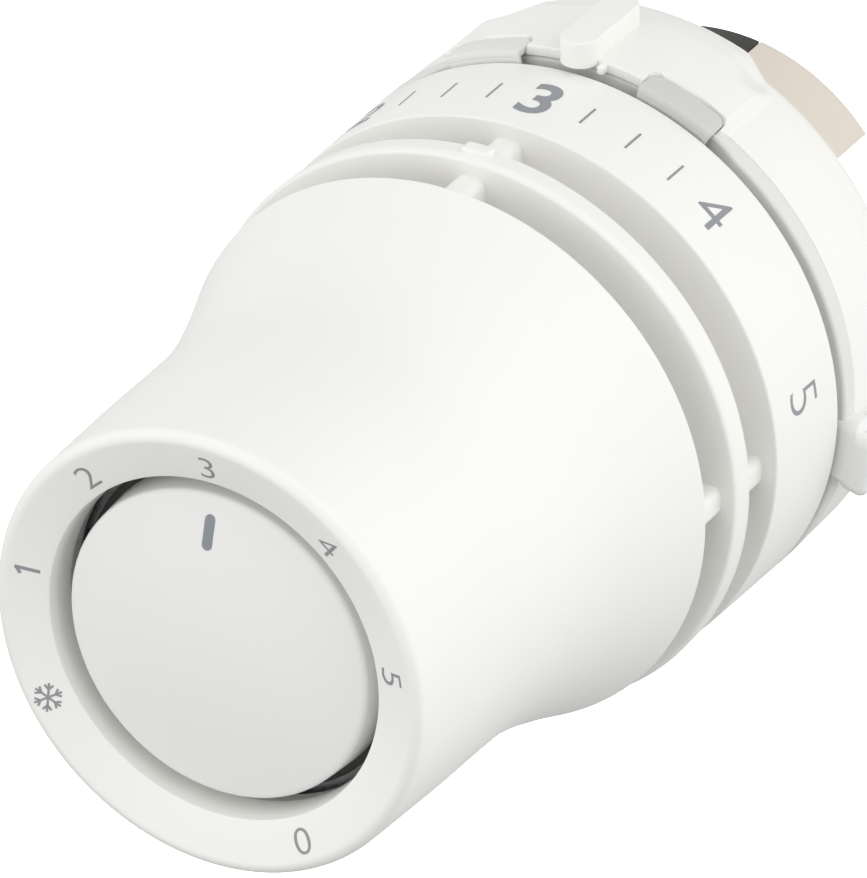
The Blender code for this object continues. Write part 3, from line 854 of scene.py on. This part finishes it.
# ================================================================== clamp collar and neck sleeve
COLLAR_RING = [
    (14.9, 61.4, 0.2), (23.2, 61.4, 0.2), (23.2, 62.6, 0.2), (16.3, 62.6, 0.2),
    (16.3, 71.6, 0.2), (14.9, 71.6, 0.2),
]
COLLAR_SLOT = [(17.1, 60.5), (22.6, 60.5), (22.6, 63.5), (17.1, 63.5)]
SLEEVE_TUBE = [
    (7.0, 57.5, 0.2), (21.6, 57.5, 0.2), (21.6, 59.3, 0.2), (14.6, 59.3, 0.2),
    (14.6, 71.4, 0.2), (13.0, 71.4, 0.2), (13.0, 61.0, 0.2), (7.0, 61.0, 0.2),
]
SLEEVE_FINGER_STATIONS = [
    69.5, 72.05, 72.15, 73.2, 74.2, 75.6, 77.0, 78.4, 79.6, 80.8, 82.0, 83.65,
]
JAW_ANGLE = -10.5
JAW_HOLE_HALF_ANGLE = 9.6
JAW_HOLE_STATIONS = (74.2, 78.4)


def sleeve_finger(name, turn):
    """A finger of the neck sleeve, turned round the axis, with the opening for its jaw."""
    middle = JAW_ANGLE + turn
    jambs = [middle - JAW_HOLE_HALF_ANGLE, middle + JAW_HOLE_HALF_ANGLE]
    grid = spread(-31.0 + turn, 9.55 + turn, 40)
    clear = [a for a in grid if all(abs(a - jamb) > 0.4 for jamb in jambs)]

    def in_hole(angle, station):
        low, high = JAW_HOLE_STATIONS
        return abs(angle - middle) < JAW_HOLE_HALF_ANGLE and low < station < high

    return shell_patch(
        name, sorted(clear + jambs), SLEEVE_FINGER_STATIONS, 13.1,
        lambda y: 14.5 if y < 72.1 else 16.45, DARK, hole=in_hole,
    )


collar_ring = lathe("collar_ring", fillet(COLLAR_RING), BEIGE)
for angle in SCREW_ANGLES:
    cutter = lathe("cutter", COLLAR_SLOT, BEIGE, start=angle - 34.0, end=angle + 9.0, segs=48)
    subtract(collar_ring, cutter)
stands(collar_ring, "lock", "clamp_collar")
for k in range(3):
    finger = shell_patch(
        f"collar_finger_{k + 1}", spread(9.95 + THIRD * k, 51.6 + THIRD * k, 40),
        spread(70.2, 83.7, 12), 15.0, lambda y: 16.5, BEIGE,
    )
    stands(finger, "lock")
stands(
    lathe("sleeve_tube", fillet(SLEEVE_TUBE), DARK), "body", "neck_sleeve"
)
for k in range(3):
    turn = THIRD * k
    stands(sleeve_finger(f"sleeve_finger_{k + 1}", turn), "body")
    jaw = bent_block(
        f"jaw_{k + 1}", JAW_ANGLE + turn, arc_length(16.0, 13.4), (74.6, 78.0), (11.9, 15.0),
        STEEL, edge=0.35, cells=10,
    )
    stands(jaw, f"jaw_{k + 1}", f"latch_jaw_{k + 1}")

# ================================================================== pin and screws
PIN_ROD = [
    (0.0, 55.8), (4.4, 55.8, 0.2), (4.4, 56.9, 0.2), (2.0, 56.9), (2.0, 69.6, 0.2),
    (2.8, 70.2, 0.3), (2.8, PIN_END, 0.3), (0.0, PIN_END),
]
SCREW_RINGS = [  # radius, station, depth of the six lobes as a share of the radius
    (0.9, 55.0, 0), (0.9, 67.9, 0), (1.6, 68.0, 0), (1.7, 68.1, 0), (1.7, 69.0, 0),
    (1.62, 69.2, 0), (1.45, 69.3, 0), (0.95, 69.3, 0.10), (0.92, 68.5, 0.10),
]


def screw(name, angle):
    """Pan head with a six-lobed recess, and its shank."""
    bm = bmesh.new()
    centre = polar(SCREW_CIRCLE, 0, angle)
    rings = []
    for radius, station, lobes in SCREW_RINGS:
        ring = []
        for a in spread(0.0, 2 * pi, 72)[:-1]:
            r = radius * (1 + lobes * cos(6 * a)) * MM
            y = (station - PIN_END) * MM
            ring.append(bm.verts.new(Vector((centre.x + r * sin(a), y, centre.z + r * cos(a)))))
        rings.append(ring)
    skin(bm, rings, caps=True)
    return finish_mesh(name, bm, STEEL, 30)


stands(
    lathe("pin_rod", fillet(PIN_ROD), STEEL, segs=96), "pin", "pressure_pin"
)
for k, angle in enumerate(SCREW_ANGLES, 1):
    stands(screw(f"screw_{k}", angle), "body", f"cover_screw_{k}")

# ================================================================== printed marks
PRINT_SINK, PRINT_RAISE = -0.08, 0.03  # underside and top of the ink about the surface
SCALE_ROW = 51.65  # station of the middle of the scale marks
SCALE_MARKS = (  # text, angle, height, stroke offset
    ("3", 0.0, 5.0, 0.018), ("2", -40.0, 4.15, 0.0), ("4", 40.0, 4.0, -0.006),
    ("5", 80.0, 4.0, -0.02), ("1", -80.0, 4.0, -0.02), ("0", 150.0, 4.0, -0.02),
)
DIAL_MARKS = (  # text, angle, radius
    ("0", 150.0, 17.0), ("2", -41.0, 16.8), ("3", -0.4, 16.65), ("4", 40.0, 16.8),
    ("5", 80.8, 16.8),
)


def on_scale(angle):
    """Placer of (clockwise, rearward, raise) on the scale ring."""
    (front_radius, front), (rear_radius, rear) = SCALE_FRONT, SCALE_REAR

    def place(x, y, z):
        station = SCALE_ROW + y
        taper = (rear_radius - front_radius) * (station - front) / (rear - front)
        radius = front_radius + taper
        return polar(radius + z, station, angle + degrees(x / radius))
    return place


def on_face(angle, radius):
    """Placer of (clockwise, outward, raise), a flat stamp laid on the dished dial face."""
    a = radians(angle)

    def place(x, y, z):
        right = (radius + y) * sin(a) + x * cos(a)
        up = (radius + y) * cos(a) - x * sin(a)
        station = face_station(hypot(right, up)) - z
        return Vector((right * MM, (station - PIN_END) * MM, up * MM))
    return place


def glyph(text, weight, stretch):
    """A centred solid of text in the built-in face at size 1, and its height."""
    curve = bpy.data.curves.new(f"glyph_{text}", "FONT")
    curve.body = text
    curve.offset = weight
    curve.resolution_u = 10
    curve.extrude = 0.5
    curve.fill_mode = "BOTH"
    helper = bpy.data.objects.new("glyph_helper", curve)
    bpy.context.scene.collection.objects.link(helper)
    bpy.context.view_layer.update()
    graph = bpy.context.evaluated_depsgraph_get()
    mesh = bpy.data.meshes.new_from_object(helper.evaluated_get(graph))
    bpy.data.objects.remove(helper)
    bpy.data.curves.remove(curve)
    bm = bmesh.new()
    bm.from_mesh(mesh)
    bpy.data.meshes.remove(mesh)
    bmesh.ops.remove_doubles(bm, verts=bm.verts, dist=1e-5)
    bmesh.ops.triangulate(bm, faces=bm.faces)
    xs = [v.co.x for v in bm.verts]
    ys = [v.co.y for v in bm.verts]
    mid_x, mid_y = (min(xs) + max(xs)) / 2, (min(ys) + max(ys)) / 2
    for v in bm.verts:
        v.co = Vector(((v.co.x - mid_x) * stretch, v.co.y - mid_y, v.co.z))
    return bm, max(ys) - min(ys)


def printed(name, text, height, place, weight, stretch=1.0):
    """Text in ink on the handle, cut finely enough to follow the surface."""
    bm, tall = glyph(text, weight, stretch)
    scale = height / tall
    for axis in (0, 1):
        normal = Vector((1 - axis, axis, 0))
        span = [v.co[axis] * scale for v in bm.verts]
        low, high = min(span), max(span)
        count = max(2, int((high - low) / 0.35))
        for cut in spread(low, high, count)[1:-1]:
            cut_across(bm, normal * (cut / scale), normal, 1e-7)
    for v in bm.verts:
        z = PRINT_RAISE if v.co.z > 0 else PRINT_SINK
        v.co = place(v.co.x * scale, v.co.y * scale, z)
    stands(finish_mesh(name, bm, INK), "handle")


def stroke(name, place, start, end, width, lift=PRINT_RAISE):
    """A thin ink line with square ends on the handle."""
    (x0, y0), (x1, y1) = start, end
    length = hypot(x1 - x0, y1 - y0)
    ux, uy = (x1 - x0) / length, (y1 - y0) / length
    half = width / 2
    corners = ((-half, PRINT_SINK), (half, PRINT_SINK), (half, lift), (-half, lift))
    bm = bmesh.new()
    rows = []
    for t in spread(0.0, length, max(2, int(length / 0.3))):
        x, y = x0 + ux * t, y0 + uy * t
        rows.append([bm.verts.new(place(x - uy * s, y + ux * s, z)) for s, z in corners])
    skin(bm, rows, caps=True)
    stands(finish_mesh(name, bm, INK), "handle")


def frost_mark(name, place, radius, width):
    """A plain six-armed frost symbol; small lifts keep crossing strokes apart."""
    for k in range(3):
        a = pi * k / 3 + pi / 2
        dx, dy = cos(a) * radius, sin(a) * radius
        stroke(f"{name}_arm_{k + 1}", place, (-dx, -dy), (dx, dy), width, PRINT_RAISE + 0.002 * k)
    for k in range(6):
        a = pi * k / 3 + pi / 2
        x, y = cos(a) * radius * 0.55, sin(a) * radius * 0.55
        for side, letter in ((-1, "a"), (1, "b")):
            b = a + side * pi / 4.2
            tip = (x + cos(b) * radius * 0.42, y + sin(b) * radius * 0.42)
            stroke(f"{name}_twig_{k + 1}_{letter}", place, (x, y), tip, width, 0.037)


for text, angle, height, weight in SCALE_MARKS:
    printed(f"scale_mark_{text}", text, height, on_scale(angle), weight)
for text, angle, radius in DIAL_MARKS:
    printed(f"dial_mark_{text}", text, 2.05, on_face(angle, radius), weight=-0.012, stretch=1.25)
dial_one = on_face(-81.0, 16.9)
stroke("dial_mark_1_stem", dial_one, (0.0, -1.0), (0.0, 1.0), width=0.30)
stroke("dial_mark_1_flag", dial_one, (0.06, 0.93), (-0.52, 0.5), width=0.26, lift=0.036)
for k, angle in enumerate((-30, -20, -10, 10, 20, 30), 1):
    stroke(f"scale_tick_{k}", on_scale(angle), (0, -1.24), (0, 1.38), width=0.20)
frost_mark("dial_frost", on_face(-120.0, 17.2), radius=1.22, width=0.17)
frost_mark("scale_frost", on_scale(-120.0), radius=1.9, width=0.25)

# ================================================================== stage, lights and camera
FLOOR_Z = -0.085  # metres
FLOOR_HALF = 3.0
LOBE_POWER = 8.0  # higher makes each world light narrower
LIGHTS = [  # direction, strength
    # front wall, strongest straight ahead of the dial
    ((0, -1, 0), 1.55), ((0, -1, 1), 0.39), ((0, -1, -1), 0.27),
    ((-1, -1, 0), 1.11), ((-1, -1, 1), 0.87), ((-1, -1, -1), 0.04),
    ((1, -1, 1), 0.23), ((1, -1, 0), 0.03), ((1, -1, -1), 0.10),
    # right side, above and below
    ((1, 0, 0), 1.34), ((1, 0, 1), 1.41), ((1, 0, -1), 0.39),
    # left side and ceiling
    ((-1, 0, 0), 0.58), ((-1, 0, 1), 0.59), ((0, 0, 1), 0.83),
    # behind
    ((1, 1, 0), 0.84), ((1, 1, 1), 0.81), ((1, 1, -1), 0.62),
    ((0, 1, 0), 0.16), ((0, 1, 1), 0.10), ((0, 1, -1), 0.36),
    ((-1, 1, 0), 0.75), ((-1, 1, 1), 0.30), ((-1, 1, -1), 0.28),
]
# Camera: angles in radians, lengths in mm; the shifts run in the picture plane from station 0
AZIMUTH, ELEVATION, ROLL = 0.5245234951, 0.5239118844, 0.0020954677
CAMERA_DISTANCE = 964.984924
CAMERA_RIGHT, CAMERA_UP = 17.3393241, 16.5130485
FOCAL_LENGTH = 503.839151

scene = bpy.context.scene
scene.view_settings.view_transform = "Standard"
scene.view_settings.look = "None"
scene.view_settings.exposure = 0.0
scene.view_settings.gamma = 1.0


def build_floor():
    bm = bmesh.new()
    bmesh.ops.create_grid(bm, x_segments=2, y_segments=2, size=FLOOR_HALF)
    mesh = bpy.data.meshes.new("floor")
    bm.to_mesh(mesh)
    bm.free()
    floor = bpy.data.objects.new("floor", mesh)
    floor.location = (0, 0, FLOOR_Z)
    scene.collection.objects.link(floor)
    mat, tree, bsdf, coord = new_material("pale_floor")
    mottle = noise(tree, coord, scale=6.0)
    base = mix_colour(tree, mottle, (0.965, 0.965, 0.96), (0.985, 0.985, 0.98))
    tree.links.new(base, bsdf.inputs["Base Color"])
    bsdf.inputs["Roughness"].default_value = 0.9
    bsdf.inputs["Specular IOR Level"].default_value = 0.1
    bsdf.inputs["Emission Color"].default_value = (1, 1, 1, 1)
    bsdf.inputs["Emission Strength"].default_value = 1.0
    mesh.materials.append(mat)
    floor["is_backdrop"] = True
    # light from below comes from the world, so the floor only shows to the camera
    floor.visible_diffuse = False
    floor.visible_glossy = False
    floor.visible_shadow = False
    floor.visible_transmission = False


def build_world():
    """A world of broad soft lights, each a power of the cosine to its direction."""
    world = bpy.data.worlds.new("studio")
    scene.world = world
    world.use_nodes = True
    tree = world.node_tree
    background = tree.nodes["Background"]
    direction = tree.nodes.new("ShaderNodeTexCoord").outputs["Generated"]

    def math_node(operation, source, *values):
        node = tree.nodes.new("ShaderNodeMath")
        node.operation = operation
        for i, value in enumerate(values, 1):
            node.inputs[i].default_value = value
        tree.links.new(source, node.inputs[0])
        return node

    total = None
    for towards, strength in LIGHTS:
        dot = tree.nodes.new("ShaderNodeVectorMath")
        dot.operation = "DOT_PRODUCT"
        dot.inputs[1].default_value = Vector(towards).normalized()
        tree.links.new(direction, dot.inputs[0])
        clip = math_node("MAXIMUM", dot.outputs["Value"], 0.0)
        power = math_node("POWER", clip.outputs[0], LOBE_POWER)
        scaled = math_node("MULTIPLY_ADD", power.outputs[0], strength, 0.0)
        if total is not None:
            tree.links.new(total, scaled.inputs[2])
        total = scaled.outputs[0]
    tree.links.new(total, background.inputs["Strength"])
    background.inputs["Color"].default_value = (1.0, 1.0, 1.0, 1)


def build_camera():
    back = Vector((
        sin(AZIMUTH) * cos(ELEVATION), -cos(AZIMUTH) * cos(ELEVATION), sin(ELEVATION)
    ))
    level = Vector((cos(AZIMUTH), sin(AZIMUTH), 0))
    upright = back.cross(level)
    right = level * cos(ROLL) + upright * sin(ROLL)
    up = upright * cos(ROLL) - level * sin(ROLL)
    eye = back * CAMERA_DISTANCE + right * CAMERA_RIGHT + up * CAMERA_UP
    eye = Vector((eye.x, eye.y - PIN_END, eye.z)) * MM
    lens = bpy.data.cameras.new("camera")
    lens.sensor_fit = "AUTO"
    lens.sensor_width = 36.0
    lens.lens = FOCAL_LENGTH
    lens.clip_start = 0.05
    lens.clip_end = 20.0
    camera = bpy.data.objects.new("camera", lens)
    basis = Matrix((right, up, back)).transposed()
    camera.matrix_world = Matrix.Translation(eye) @ basis.to_4x4()
    scene.collection.objects.link(camera)
    scene.camera = camera


build_floor()
build_world()
build_camera()

VISUAL_BOX = [list(corner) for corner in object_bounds()]
boxes = {"cad": CAD_BOX, "visual": VISUAL_BOX}
{key: [[float(c) for c in corner] for corner in ends] for key, ends in boxes.items()}
